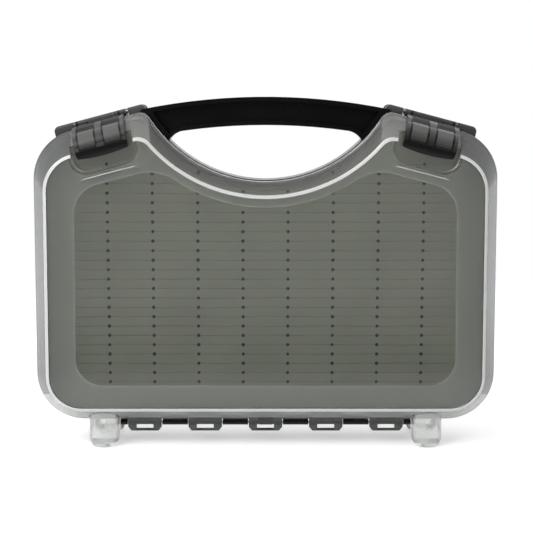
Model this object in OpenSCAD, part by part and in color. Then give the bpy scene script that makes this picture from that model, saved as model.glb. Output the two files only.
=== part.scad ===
// Double-sided waterproof fly box: a carrying frame with a slit foam leaf in the
// middle and a clear lid on each face. Both lids hinge at the bottom edge and are
// held shut by two swinging latches each, which pivot on the sloped shoulders.
// X runs along the handle, the front faces -Y, Z is up and the feet stand on z = 0.

/* [Outline] */
// Width of the case over the lid flanges
case_w = 340; // [300:1:400]
// Height of the lids' straight bottom edge above the ground
edge_z = 17.8; // [16:0.1:24]
// Height at which the shoulder line meets the side
side_h = 224.5; // [200:0.5:260]
// Slope of the shoulders, in degrees
shoulder_deg = 14.8; // [8:0.1:20]
// Radius of the two bottom corners
corner_r = 35; // [28:0.5:45]
// Radius where the side turns into the shoulder
side_r = 37; // [30:0.5:45]
// How far the sides lean in on their way up
side_lean = 1.2; // [0:0.1:2]
// Radius of the dip under the handle
dip_r = 100; // [90:0.5:108]
// Height of the dip's lowest point
dip_low_z = 195.4; // [185:0.5:205]
// Radius of the peak between shoulder and dip
peak_r = 8; // [5:0.5:12]

/* [Frame] */
// Thickness of the frame, front to back
frame_t = 20; // [18:0.5:22]
// Width of the frame's band, measured inwards
band_w = 6; // [5:0.5:7]
// How far the frame stands above the lids at the top
proud = 0.6; // [0.3:0.1:1]
// How far the frame stays inside the lids at the sides and bottom
shy = 0.6; // [0.2:0.1:1]
// Thickness of the middle panel
panel_t = 3; // [2:0.5:4]
// Thickness of each foam sheet
foam_t = 5; // [4:0.5:6]

/* [Handle] */
// Height of the handle's top at the middle
handle_top_z = 256.4; // [252:0.2:262]
// Radius of the handle's arch
handle_r = 455; // [430:5:480]
// Height of the grip, top to underside
grip_h = 20.4; // [17:0.2:23]
// Thickness of the flanges round the handle
flange_t = 3.2; // [2.5:0.1:4]
// Thickness of the handle's recessed web
web_t = 6; // [4:0.5:8]
// Radius at the two ends of the finger opening
grip_end_r = 14; // [12:0.5:16]
// Half the straight stretch of the finger opening's top
grip_half = 58; // [54:0.5:62]

/* [Foam pattern] */
// Number of hole columns
columns = 10; // [6:1:10]
// Distance between the hole columns
column_pitch = 33.3; // [30:0.1:34]
// Distance between the slits
row_pitch = 7.1; // [6:0.1:9]
// Height of the lowest slit
first_row_z = 44.2; // [40:0.2:50]
// Number of slits
rows = 24; // [16:1:24]
// Diameter of the holes
hole_d = 2.5; // [1.6:0.1:2.8]
// Width of a slit
slit_w = 0.4; // [0.3:0.1:0.6]
// Depth of the holes and slits
slit_depth = 2.5; // [1.5:0.1:3]

/* [Lids] */
// Depth of the whole case over both lid faces
case_t = 66; // [62:0.5:76]
// Gap between a lid's rim and the frame
rim_gap = 0.6; // [0.4:0.1:0.8]
// Depth of the flange's straight band
flange_depth = 4.4; // [4:0.1:6]
// Width of the sealing rim
rim_w = 5; // [4.6:0.1:5.4]
// Wall thickness of a lid
wall = 2.2; // [1.8:0.1:2.6]
// How far the sloped wall runs in from flange to face, at the sides
side_in = 8.9; // [7:0.1:11]
// The same at the bottom
low_in = 9.4; // [8:0.1:11]
// The same under the shoulders
shoulder_in = 16; // [14:0.1:17]
// The same under the dip
dip_in = 8.4; // [7:0.1:11]
// Radius of the face's edge
face_r = 2.6; // [2:0.1:3.5]
// Radius of the face at the peaks
face_peak_r = 11; // [9:0.5:16]

/* [Gasket] */
// Width of the gasket
gasket_w = 2.2; // [1.8:0.1:2.4]
// Distance of the gasket from the frame's edge
gasket_in = 2.2; // [1.8:0.1:2.6]
// Depth of the gasket's groove
groove_depth = 1.6; // [1.2:0.1:2]
// How far the gasket stands out of its groove
gasket_proud = 0.3; // [0.1:0.05:0.35]

/* [Hinges] */
// Distance of each hinge axis from the middle of the case
hinge_y = 15.8; // [15.6:0.1:17]
// Drop of the hinge axis below the lid's edge
hinge_drop = 2.4; // [2.3:0.1:2.8]
// Radius of the frame's hinge barrels
barrel_r = 2; // [1.8:0.05:2.05]
// Radius of the hinge pins
pin_r = 1; // [0.8:0.05:1.1]
// Running clearance round every pin
pin_clear = 0.05; // [0.03:0.01:0.08]
// Distance between the lid's hinge groups
hinge_pitch = 45; // [40:0.5:46]
// Width of one hinge group
group_w = 25; // [22:0.5:27]
// Width of one lid ear
ear_w = 6.2; // [5:0.1:7]
// Gap between neighbouring knuckles
knuckle_gap = 0.5; // [0.4:0.05:0.8]
// How far the ears reach below the hinge axis
ear_drop = 5.9; // [5.4:0.1:6.2]

/* [Feet] */
// Distance of a foot's middle from the middle of the case
foot_x = 119.7; // [116:0.1:123]
// Width of a foot
foot_w = 21.5; // [18:0.5:24]
// Radius of a foot's bottom corners
foot_r = 6; // [3:0.5:8]
// Wall thickness of a foot
foot_wall = 2.5; // [2:0.1:3.5]

/* [Latches] */
// Distance of the strip of knuckles' middle from the side, along the shoulder
latch_at = 52.1; // [51:0.1:53]
// How far a latch's body and its pocket sit outwards of the knuckles' middle
latch_shift = 1.5; // [0:0.1:1.8]
// Width of a latch
latch_w = 38.2; // [36:0.2:40]
// Distance of a latch's pivot from the middle of the case
pivot_y = 7; // [6.6:0.1:7.2]
// Height of the pivot above the shoulder line
pivot_h = 3.3; // [3.2:0.05:3.6]
// Radius of the latch's knuckles
knuckle_r = 2.1; // [1.9:0.05:2.2]
// Radius of the latch pins
latch_pin_r = 0.8; // [0.6:0.05:0.9]
// Length of a latch knuckle
knuckle_w = 9.2; // [8:0.1:9.6]
// Width of a latch's end cheeks
cheek_w = 3.5; // [3:0.1:4]
// Width of a latch's middle rib
rib_w = 6.2; // [5:0.1:7]
// Length of the bracket's outer block
outer_block = 14.6; // [13:0.2:15]
// Length of the bracket's inner block
inner_block = 12.9; // [11:0.2:13]
// Clearance under and behind a latch
latch_gap = 0.6; // [0.5:0.05:0.8]

/* [Latch pockets] */
// Width of the pocket in the lid
pocket_w = 46; // [43:0.5:47]
// Distance of the pocket's lower end below the shoulder line
pocket_low = 31; // [29:0.5:32]
// Depth of the pocket behind the lid's face
pocket_depth = 7; // [6.5:0.1:7.4]
// Radius of the pocket's lower corners
pocket_r = 9; // [5:0.5:9.5]
// Height of the catch ridge in the pocket
catch_h = 2.3; // [2:0.1:2.6]
// Overlap of hook and catch
catch_bite = 0.9; // [0.6:0.1:1.2]

/* [Hidden] */

$fn = 48;
black = [0.03, 0.03, 0.03];
grey = [0.36, 0.37, 0.36];
steel = [0.75, 0.75, 0.75];
foam_grey = [0.41, 0.43, 0.38];
clear = [0.72, 0.75, 0.74, 0.5];

slack = 0.05;
far = 500;
half_w = case_w / 2;
slope = [cos(shoulder_deg), sin(shoulder_deg)];
rise = [-sin(shoulder_deg), cos(shoulder_deg)];
dip_z = dip_low_z + dip_r;
half_frame = frame_t / 2;
half_panel = panel_t / 2;
face_y = case_t / 2;
rim_y = half_frame + rim_gap;
band_y = rim_y + flange_depth;
hinge_z = edge_z - hinge_drop;
handle_z = handle_top_z - handle_r;
under_r = handle_r - grip_h;
grip_end_z = handle_z + sqrt(pow(under_r - grip_end_r, 2) - pow(grip_half, 2));
groups = [-2, -1, 0, 1, 2];
half_group = group_w / 2;
outer_start = 2 * hinge_pitch + half_group + knuckle_gap;
outer_end = foot_x - foot_w / 2 - knuckle_gap;
half_latch = latch_w / 2;
centre_knuckle = latch_w - 2 * knuckle_w - 2 * knuckle_gap;
pocket_floor = face_y - pocket_depth;
catch_y = pocket_floor + catch_h;
sides = [-1, 1];

// ---- outline ----
// Each ring is the case outline moved inwards, always with the same number of
// points, so that rings at different depths can be skinned to each other.
corner_steps = 8;
dip_steps = 14;

function along(centre, r, from, to, steps, first = 0) = [
    for (i = [first:steps])
        let (angle = from + (to - from) * i / steps)
        centre + r * [cos(angle), sin(angle)]];

// Where the peak's fillet of radius r sits, for the shoulder moved in by top and the dip by dip
function peak_centre(top, dip, r) =
    let (start = [-half_w, side_h] - rise * (top + r) - [0, dip_z],
        b = start * slope,
        c = start * start - pow(dip_r + dip + r, 2))
    [0, dip_z] + start + slope * (-b - sqrt(b * b - c));

// Left half, from the bottom corner up over the shoulder and down into the dip;
// insets are those at side, bottom, shoulder and dip
function half_ring(insets, r_corner, r_side, r_peak) =
    let (bottom = [-half_w + insets[0] + r_corner, edge_z + insets[1] + r_corner],
        side_x = -half_w + side_lean + insets[0] + r_side,
        line = [-half_w, side_h] - rise * (insets[2] + r_side),
        side = [side_x, line[1] + (side_x - line[0]) * tan(shoulder_deg)],
        peak = peak_centre(insets[2], insets[3], r_peak),
        to_dip = [0, dip_z] - peak,
        turn = atan2(to_dip[1], to_dip[0]))
    concat(
        along(bottom, r_corner, 270, 180, corner_steps),
        along(side, r_side, 180, 90 + shoulder_deg, corner_steps),
        along(peak, r_peak, 90 + shoulder_deg, turn, corner_steps),
        along([0, dip_z], dip_r + insets[3], 180 + turn, 270, dip_steps, 1));

function full_ring(half) = concat(half, [for (i = [len(half) - 2:-1:0]) [-half[i][0], half[i][1]]]);

function ring(insets, r_peak) =
    full_ring(half_ring(insets, max(corner_r - insets[0], 2), max(side_r - insets[0], 2), r_peak));

function even(inset) = [inset, inset, inset, inset];

// Frame outline, moved in by inset from the frame's own edge
function frame_ring(inset) = ring([shy + inset, shy + inset, inset - proud, inset - proud], peak_r + inset / 2);

// Skins a stack of [depth, ring] pairs into one closed solid, depth measured towards the front
module skin(stack) {
    n = len(stack[0][1]);
    points = [for (layer = stack, p = layer[1]) [p[0], -layer[0], p[1]]];
    walls = [for (k = [0:len(stack) - 2], i = [0:n - 1])
        let (a = k * n + i, b = k * n + (i + 1) % n)
        each [[a, b, b + n], [a, b + n, a + n]]];
    back = [[for (i = [n - 1:-1:0]) i]];
    front = [[for (i = [0:n - 1]) (len(stack) - 1) * n + i]];
    polyhedron(points, concat(walls, back, front), convexity = 6);
}

// Extrudes an outline drawn in X and Z from depth y_from to depth y_to, both towards the front
module plate(y_from, y_to) {
    translate([0, -y_from, 0])
        rotate([90, 0, 0])
            linear_extrude(y_to - y_from)
                children();
}

// ---- placing ----
// Puts a child drawn for the front left corner at the wanted corner
module corner(face, side) {
    mirror([side > 0 ? 1 : 0, 0, 0])
        mirror([0, face > 0 ? 1 : 0, 0])
            children();
}

// Latch frame: X runs up the left shoulder, Z stands square on it
module on_shoulder() {
    translate([-half_w + latch_at * slope[0], 0, side_h + latch_at * slope[1]])
        rotate([0, -shoulder_deg, 0])
            children();
}

// A bar along X of a section drawn in depth (towards the front) and height
module bar(x_from, x_to) {
    translate([x_from, 0, 0])
        mirror([0, 1, 0])
            rotate([90, 0, 90])
                linear_extrude(x_to - x_from)
                    children();
}

module rod(x_from, x_to, y, z, r) {
    translate([x_from, y, z])
        rotate([0, 90, 0])
            cylinder(r = r, h = x_to - x_from);
}

// ---- frame ----
slot_depth = 1.2;
slot_clear = 0.1;
foam_clear = 0.3;
recess_low = 10;

module grip_opening_outline(grow) {
    intersection() {
        translate([0, dip_z])
            circle(r = dip_r - proud, $fn = 160);
        union() {
            intersection() {
                translate([0, handle_z])
                    circle(r = under_r + grow, $fn = 360);
                translate([-grip_half, dip_low_z - 2 * proud])
                    square([2 * grip_half, far]);
            }
            for (s = sides)
                translate([s * grip_half, grip_end_z])
                    circle(r = grip_end_r + grow);
            translate([-grip_half - grip_end_r - grow, dip_low_z - 2 * proud])
                square([2 * (grip_half + grip_end_r + grow), grip_end_z - dip_low_z + 2 * proud]);
        }
    }
}

module handle_outline() {
    difference() {
        intersection() {
            translate([0, handle_z])
                circle(r = handle_r, $fn = 360);
            translate([0, dip_z])
                circle(r = dip_r + band_w / 2, $fn = 160);
            translate([-half_w, dip_low_z - proud])
                square([case_w, far]);
        }
        grip_opening_outline(0);
    }
}

module handle_recess_outline() {
    difference() {
        intersection() {
            translate([0, handle_z])
                circle(r = handle_r - flange_t, $fn = 360);
            translate([0, dip_z])
                circle(r = dip_r - proud - flange_t, $fn = 160);
        }
        grip_opening_outline(flange_t);
        translate([-half_w, -far])
            square([case_w, far + dip_low_z + recess_low]);
    }
}

// Web that carries a hinge barrel under the lid's flange, drawn in depth and height
module barrel_web_outline() {
    reach = hinge_y - half_frame;
    polygon([
        [hinge_y + barrel_r * sin(30), hinge_z + barrel_r * cos(30)],
        [half_frame, hinge_z + barrel_r],
        [half_frame - slack, edge_z + shy + slack],
        [half_frame - 2 * barrel_r, edge_z + shy + slack],
        [half_frame - 2 * barrel_r, hinge_z + 0.9 * barrel_r],
        [hinge_y - 0.6 * reach, hinge_z + 0.9 * barrel_r],
        [hinge_y - 0.5 * barrel_r, hinge_z - 0.6 * barrel_r]]);
}

module frame_barrel(x_from, x_to) {
    rod(x_from, x_to, -hinge_y, hinge_z, barrel_r);
    bar(x_from, x_to)
        barrel_web_outline();
}

module frame_barrels() {
    free = hinge_pitch - group_w - 2 * knuckle_gap;
    for (i = [-1.5:1:1.5])
        frame_barrel(i * hinge_pitch - free / 2, i * hinge_pitch + free / 2);
    for (s = sides)
        frame_barrel(min(s * outer_start, s * outer_end), max(s * outer_start, s * outer_end));
    middle = half_group - ear_w - 3 * knuckle_gap;
    frame_barrel(-middle, middle);
}

module center_frame() {
    color(black)
        difference() {
            union() {
                plate(-half_frame, half_frame)
                    difference() {
                        polygon(frame_ring(0));
                        polygon(frame_ring(band_w));
                    }
                plate(-half_frame, half_frame)
                    handle_outline();
                frame_barrels();
                mirror([0, 1, 0])
                    frame_barrels();
            }
            for (face = sides) {
                mirror([0, face > 0 ? 1 : 0, 0]) {
                    plate(half_frame - groove_depth, far)
                        difference() {
                            polygon(frame_ring(gasket_in));
                            polygon(frame_ring(gasket_in + gasket_w));
                        }
                    plate(web_t / 2, far)
                        handle_recess_outline();
                    rod(-case_w, case_w, -hinge_y, hinge_z, pin_r + pin_clear);
                }
                for (side = sides)
                    corner(face, side)
                        on_shoulder()
                            bracket_room();
            }
            plate(-half_panel - slack, half_panel + slack)
                polygon(frame_ring(band_w - slot_depth));
        }
}

module divider_panel() {
    color(black)
        plate(-half_panel, half_panel)
            polygon(frame_ring(band_w - slot_depth + slot_clear));
}

module foam() {
    color(foam_grey)
        difference() {
            plate(half_panel, half_panel + foam_t)
                polygon(frame_ring(band_w + foam_clear));
            plate(half_panel + foam_t - slit_depth, far) {
                for (row = [0:rows - 1]) {
                    z = first_row_z + row * row_pitch;
                    translate([-half_w, z - slit_w / 2])
                        square([case_w, slit_w]);
                    for (i = [0:columns - 1])
                        translate([(i - (columns - 1) / 2) * column_pitch, z])
                            circle(d = hole_d, $fn = 16);
                }
            }
        }
}

module gasket() {
    color(black)
        plate(half_frame - groove_depth, half_frame + gasket_proud)
            difference() {
                polygon(frame_ring(gasket_in + slack));
                polygon(frame_ring(gasket_in + gasket_w - slack));
            }
}

module hinge_pin() {
    color(steel)
        rod(-outer_end, outer_end, -hinge_y, hinge_z, pin_r);
}

// ---- latch brackets, drawn for the front left corner ----
block_gap = 1;
base_t = 1.6;
base_lip = 0.3;
block_round = 4;
left_end = -half_latch - block_gap;
right_end = half_latch + 2 * block_gap;

module bracket_base(grow) {
    half = knuckle_r + base_lip + grow;
    translate([left_end - outer_block - grow, -pivot_y - half, -base_t - grow])
        cube([right_end - left_end + outer_block + inner_block + 2 * grow, 2 * half, base_t + grow]);
}

module bracket_block(x_from, x_to) {
    rod(x_from, x_to, -pivot_y, pivot_h, knuckle_r);
    bar(x_from, x_to)
        translate([pivot_y - knuckle_r, -base_t / 2])
            square([2 * knuckle_r, base_t / 2 + pivot_h]);
}

// Front view of the bracket, which rounds the outer ends of its two end blocks
module bracket_front() {
    low = left_end - outer_block;
    top = pivot_h + knuckle_r;
    width = right_end + inner_block - low;
    for (x = [low + block_round, low + width - block_round])
        translate([x, top - block_round])
            circle(r = block_round);
    translate([low, -far])
        square([width, far + top - block_round]);
    translate([low + block_round, -far])
        square([width - 2 * block_round, far + top]);
}

module latch_bracket() {
    color(grey)
        difference() {
            intersection() {
                union() {
                    bracket_base(0);
                    bracket_block(-centre_knuckle / 2, centre_knuckle / 2);
                    bracket_block(left_end - outer_block, left_end);
                    bracket_block(right_end, right_end + inner_block);
                }
                plate(0, far)
                    bracket_front();
            }
            rod(left_end - outer_block / 2, right_end + inner_block / 2,
                -pivot_y, pivot_h, latch_pin_r + pin_clear);
        }
}

// Room that the frame leaves for the bracket's blocks and for the latch's arms
module bracket_room() {
    bracket_base(slack);
    half = knuckle_r + base_lip + slack;
    translate([left_end - outer_block - slack, -pivot_y - half, -slack])
        cube([right_end - left_end + outer_block + inner_block + 2 * slack, 2 * half, far]);
    translate([left_end, -half_frame - slack, 0])
        cube([right_end - left_end, half_frame - pivot_y + half + 2 * slack, far]);
}

module latch_pin() {
    color(steel)
        rod(left_end - outer_block / 2 + slack, right_end + inner_block / 2 - slack,
            -pivot_y, pivot_h, latch_pin_r);
}

// ---- latches, drawn for the front left corner; depth counts towards the front ----
lip_low = -22.9;
lip_sag = 1.6;
lip_line = -16.2;
lip_y = face_y + 1;
lip_shy = 0.2;
lip_edge = 0.4;
lip_round = 3.2;
lip_bulge = 0.5;
latch_corner = 4;
hook_top = -16.8;
hook_land = 0.9;
hook_drop = 3;
inner_y = catch_y + latch_gap;
arm_t = 0.8;
bar_y = half_frame + 1.5;
bar_z = 1.5;
bar_chamfer = 0.7;
bow_steps = 12;
cheek_bulge = 3.2;
panel_top = [band_y + 8.2, -2.8];
panel_low = [face_y + 0.2, lip_line + 1];
panel_bulge = 2.4;
slot_step = 0.4;

// Height of the lid's sloped wall at a depth, below the shoulder line
function wall_at(depth) =
    -(depth - band_y - turn_depth) * shoulder_in / (face_y - edge_depth - band_y - turn_depth);

// Points from low to top on an arc that bulges to the front
function bow(low, top, bulge, first = 0) =
    let (chord = norm(low - top),
        r = (chord * chord / 4 + bulge * bulge) / (2 * bulge),
        inward = [low[1] - top[1], top[0] - low[0]] / chord,
        centre = (top + low) / 2 + inward * (r - bulge),
        from = low - centre,
        to = top - centre)
    along(centre, r, atan2(from[1], from[0]), atan2(to[1], to[0]), bow_steps, first);

// Back of the latch, which follows the lid's flange and sloped wall at the clearance
function back_line(grow) = [
    [bar_y + grow, latch_gap + grow],
    [band_y + 1, latch_gap + grow],
    [pocket_floor + latch_gap, wall_at(pocket_floor) + 1.3 * latch_gap + grow],
    [inner_y + grow, wall_at(inner_y) + latch_gap + grow]];

// End cheeks and middle rib
module cheek_outline() {
    polygon(concat(
        back_line(0),
        [[inner_y, lip_low]],
        bow([lip_y - lip_round + lip_shy, lip_low], [lip_y, lip_line], lip_bulge),
        bow([lip_y, lip_line], [band_y - slack, bar_z], cheek_bulge, 1),
        [[bar_y + bar_chamfer, bar_z],
        [bar_y, bar_z - bar_chamfer]]));
}

// Crossbar in front of the knuckles, floor of the dark slots and convex panel
module panel_outline() {
    polygon(concat(
        back_line(slack),
        [[inner_y + slack, panel_low[1]]],
        bow(panel_low, panel_top, panel_bulge),
        [panel_top - [slot_step, slot_step],
        [band_y + 1, latch_gap + arm_t],
        [band_y, bar_z - slack],
        [bar_y + bar_chamfer + slack, bar_z - slack],
        [bar_y + slack, bar_z - bar_chamfer - slack]]));
}

// Arm from a knuckle to the crossbar, low under the knuckle
module arm_outline() {
    polygon([
        [pivot_y - 0.4 * knuckle_r, pivot_h - 0.8 * knuckle_r],
        [pivot_y + 0.2 * knuckle_r, latch_gap + 2 * slack],
        [band_y - 1, latch_gap + 2 * slack],
        [band_y - 1, latch_gap + arm_t],
        [pivot_y + 0.8 * knuckle_r, pivot_h - 0.4 * knuckle_r]]);
}

module lip_outline() {
    polygon(concat(
        [[inner_y + slack, lip_low]],
        bow([lip_y - lip_round, lip_low], [lip_y - lip_shy, lip_line - lip_edge], lip_bulge),
        [[lip_y - lip_shy, lip_line + lip_edge],
        [inner_y + slack, lip_line + 2]]));
}

module hook_outline() {
    hook_y = catch_y - catch_bite;
    polygon([
        [inner_y + 2 * slack, hook_top],
        [hook_y, hook_top],
        [hook_y, hook_top - hook_land],
        [inner_y + 2 * slack, hook_top - hook_drop]]);
}

// Front view of the latch's body, with its lower edge bowed and its lower corners rounded
module latch_front() {
    bow_r = (half_latch * half_latch + lip_sag * lip_sag) / (2 * lip_sag);
    intersection() {
        translate([0, lip_low + bow_r])
            circle(r = bow_r, $fn = 240);
        union() {
            for (s = sides)
                translate([s * (half_latch - latch_corner), lip_low + latch_corner])
                    circle(r = latch_corner);
            translate([-half_latch, lip_low + latch_corner])
                square([latch_w, latch_w]);
            translate([-half_latch + latch_corner, lip_low])
                square([latch_w - 2 * latch_corner, latch_w]);
        }
    }
}

module latch_body() {
    intersection() {
        union() {
            for (x = [-half_latch, half_latch - cheek_w])
                bar(x, x + cheek_w)
                    cheek_outline();
            bar(-rib_w / 2, rib_w / 2)
                cheek_outline();
            bar(-half_latch + slack, half_latch - slack)
                panel_outline();
            bar(-half_latch + slack, half_latch - slack)
                lip_outline();
            bar(-half_latch + 2 * cheek_w, half_latch - 2 * cheek_w)
                hook_outline();
        }
        plate(0, far)
            latch_front();
    }
}

module latch() {
    color(grey)
        difference() {
            union() {
                translate([-latch_shift, 0, 0])
                    latch_body();
                bar(-half_latch, -half_latch + knuckle_w)
                    arm_outline();
                bar(half_latch - knuckle_w, half_latch - latch_shift - slack)
                    arm_outline();
                for (x = [-half_latch, half_latch - knuckle_w])
                    rod(x, x + knuckle_w, -pivot_y, pivot_h, knuckle_r);
            }
            rod(-latch_w, latch_w, -pivot_y, pivot_h, latch_pin_r + pin_clear);
        }
}

// ---- lids, drawn for the front ----
ear_front = 2.9;
ear_back = 1.5;
ear_chamfer = [2.4, 3];
ear_top = 2.4;
bridge_t = 1;
screen_t = 0.5;
screen_rise = 3;
screen_drop = 1;
foot_behind = 1.9;
foot_front = 2.3;
foot_bow = 1;
boss_r = 2;
boss_proud = 0.4;
boss_z = 0.7;
hook_gap = 0.3;
catch_land = 1.2;
line_w = 0.7;
line_proud = 0.3;
line_below = 5.2;

turn_depth = 1.2;
turn_in = 0.4;
edge_depth = 2;
edge_soft = 0.6;
bevel_run = [0.65, 1.5];
inner_bevel = [1.6, 1.2];
inner_slope = 0.75;
inner_turn = [0.8, 0.5];
rim_peak = 2;

// Ring of a lid layer: share of the slope run down, then inset, and k for the peak radius' growth
function face_ring(share, inset, k) =
    ring([side_in, low_in, shoulder_in, dip_in] * share + even(inset), peak_r + (face_peak_r - peak_r) * k);

// Layers of the lid's outer surface, from the rim to the face
outer_layers = [
    [rim_y, ring(even(0), peak_r)],
    [band_y, ring(even(0), peak_r)],
    [band_y + turn_depth, face_ring(0, turn_in, 0)],
    [face_y - edge_depth, face_ring(1, 0, 0.9)],
    [face_y - edge_soft, face_ring(1, bevel_run[0] * face_r, 1)],
    [face_y, face_ring(1, bevel_run[1] * face_r, 1)]];

// Layers of the cavity, from the inner face back to the rim; share 1 leaves the full wall
function inner_layers(share, rim) =
    let (t = wall * share,
        rim_in = rim_w * share)
    [
        [face_y - t, face_ring(1, t * inner_slope + inner_bevel[0], 1)],
        [face_y - t - inner_bevel[1], face_ring(1, t * inner_slope, 0.9)],
        [band_y + inner_turn[0], face_ring(0, t + inner_turn[1], 0)],
        [band_y - turn_depth, ring(even(rim_in), peak_r + rim_peak)],
        [rim, ring(even(rim_in), peak_r + rim_peak)]];

function backwards(list) = [for (i = [len(list) - 1:-1:0]) list[i]];

// Middle of the lid's wall and all within it
module lid_core() {
    skin(backwards(inner_layers(0.5, half_frame)));
}

module pocket_outline(grow) {
    half = pocket_w / 2 + grow;
    r = pocket_r + grow;
    low = -pocket_low - grow;
    for (s = sides)
        translate([s * (half - r), low + r])
            circle(r = r);
    translate([-half + r, low])
        square([2 * (half - r), r]);
    translate([-half, low + r])
        square([2 * half, pocket_low + grow]);
}

module each_pocket() {
    for (side = sides)
        corner(-1, side)
            on_shoulder()
                translate([-latch_shift, 0, 0])
                    children();
}

// Ear section round the hinge pin, drawn in depth and height
module ear_outline() {
    front = hinge_y + ear_front;
    translate([hinge_y, hinge_z])
        circle(r = ear_front);
    translate([hinge_y - ear_back, hinge_z - ear_drop])
        square([ear_back + ear_front, ear_drop]);
    polygon([
        [front, hinge_z - ear_drop],
        [front, edge_z + ear_top],
        [band_y - 1, edge_z + ear_top],
        [hinge_y - ear_front, edge_z + slack],
        [hinge_y - ear_back, hinge_z]]);
}
module hinge_group() {
    difference() {
        union() {
            for (x = [-half_group, half_group - ear_w])
                bar(x, x + ear_w)
                    ear_outline();
            bar(-half_group + ear_w - slack, half_group - ear_w + slack)
                translate([hinge_y - ear_back, hinge_z - ear_drop])
                    square([ear_back + ear_front, bridge_t]);
            bar(-half_group + ear_w - slack, half_group - ear_w + slack)
                translate([hinge_y + ear_front - screen_t, hinge_z - screen_drop])
                    square([screen_t, hinge_drop + screen_rise]);
        }
        for (s = sides)
            plate(0, far)
                polygon([
                    [s * (half_group + slack), hinge_z - ear_drop - slack],
                    [s * (half_group - ear_chamfer[0]), hinge_z - ear_drop - slack],
                    [s * (half_group + slack), hinge_z - ear_drop + ear_chamfer[1]]]);
    }
}

// Plan of a foot, drawn in X and depth: straight at the back, round at the front
module foot_plan(shrink) {
    half = foot_w / 2 - shrink;
    back = hinge_y - foot_behind + shrink;
    front = face_y - foot_front - shrink;
    bow = foot_w / 2 + foot_bow;
    intersection() {
        translate([-half, back])
            square([2 * half, front - back]);
        translate([0, front - bow])
            circle(r = bow);
        translate([-half, -half])
            square([2 * half, far]);
    }
    translate([-half, back])
        square([2 * half, front - bow - back + bow / 2]);
}

module foot_front_outline() {
    half = foot_w / 2;
    for (s = sides)
        translate([s * (half - foot_r), foot_r])
            circle(r = foot_r);
    translate([-half + foot_r, 0])
        square([2 * (half - foot_r), foot_r]);
    translate([-half, foot_r])
        square([foot_w, face_y]);
}

// Hollow foot, open at the back, with a small round boss inside its front wall
module foot() {
    difference() {
        intersection() {
            mirror([0, 1, 0])
                linear_extrude(edge_z + low_in + wall)
                    foot_plan(0);
            plate(0, far)
                foot_front_outline();
        }
        translate([0, 0, foot_wall])
            mirror([0, 1, 0])
                linear_extrude(far) {
                    foot_plan(foot_wall);
                    translate([-foot_w / 2 + foot_wall, 0])
                        square([foot_w - 2 * foot_wall, hinge_y + foot_wall]);
                }
    }
    translate([0, -face_y + foot_front + foot_wall / 2, edge_z * boss_z])
        rotate([-90, 0, 0])
            cylinder(r = boss_r, h = foot_wall / 2 + boss_proud);
}

// Walls, ears, feet and the pockets' tubs
module lid_shell() {
    difference() {
        union() {
            skin(concat(inner_layers(1, rim_y), outer_layers));
            for (g = groups)
                translate([g * hinge_pitch, 0, 0])
                    hinge_group();
            difference() {
                for (s = sides)
                    translate([s * foot_x, 0, 0])
                        foot();
                lid_core();
            }
            intersection() {
                lid_core();
                each_pocket()
                    plate(pocket_floor - wall, far)
                        pocket_outline(wall);
            }
        }
        each_pocket()
            plate(pocket_floor, far)
                pocket_outline(0);
    }
}

// Ridge in the pocket that the latch's hook snaps under
module catch_outline() {
    polygon([
        [pocket_floor - wall / 2, hook_top + hook_gap],
        [catch_y, hook_top + hook_gap],
        [catch_y, hook_top + hook_gap + catch_land],
        [pocket_floor - wall / 2, hook_top + hook_gap + catch_land + catch_h + wall / 2]]);
}

module lid() {
    color(clear)
        difference() {
            union() {
                lid_shell();
                each_pocket() {
                    bar(-half_latch + cheek_w, half_latch - cheek_w)
                        catch_outline();
                    plate(face_y - wall / 2, face_y + line_proud)
                        translate([-half_latch, -pocket_low - line_below])
                            square([latch_w, line_w]);
                }
            }
            rod(-case_w, case_w, -hinge_y, hinge_z, pin_r + pin_clear);
        }
}

module front_gasket() { gasket(); }
module back_gasket() { mirror([0, 1, 0]) gasket(); }
module front_foam() { foam(); }
module back_foam() { mirror([0, 1, 0]) foam(); }
module front_hinge_pin() { hinge_pin(); }
module back_hinge_pin() { mirror([0, 1, 0]) hinge_pin(); }
module front_lid() { lid(); }
module back_lid() { mirror([0, 1, 0]) lid(); }
module bracket_at(face, side) { corner(face, side) on_shoulder() latch_bracket(); }
module latch_pin_at(face, side) { corner(face, side) on_shoulder() latch_pin(); }
module latch_at_corner(face, side) { corner(face, side) on_shoulder() latch(); }

center_frame();
divider_panel();
front_foam();
back_foam();
front_gasket();
back_gasket();
front_hinge_pin();
back_hinge_pin();
front_lid();
back_lid();
bracket_at(-1, -1);  // front_left_latch_bracket
bracket_at(-1, 1);  // front_right_latch_bracket
bracket_at(1, -1);  // back_left_latch_bracket
bracket_at(1, 1);  // back_right_latch_bracket
latch_pin_at(-1, -1);  // front_left_latch_pin
latch_pin_at(-1, 1);  // front_right_latch_pin
latch_pin_at(1, -1);  // back_left_latch_pin
latch_pin_at(1, 1);  // back_right_latch_pin
latch_at_corner(-1, -1);  // front_left_latch
latch_at_corner(-1, 1);  // front_right_latch
latch_at_corner(1, -1);  // back_left_latch
latch_at_corner(1, 1);  // back_right_latch
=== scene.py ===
"""Fly box: the looks of a double-sided carrying case, built round its CAD frame.

The part's own shapes come from the frame. This add-on dresses them: clear moulded
lids with a frosted border, slit foam, and moulded plastic on frame and latches.
"""
import math
import random

import bpy
import bmesh
from bpy.props import FloatProperty, FloatVectorProperty, IntProperty, PointerProperty
from mathutils import Matrix, Vector


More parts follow.
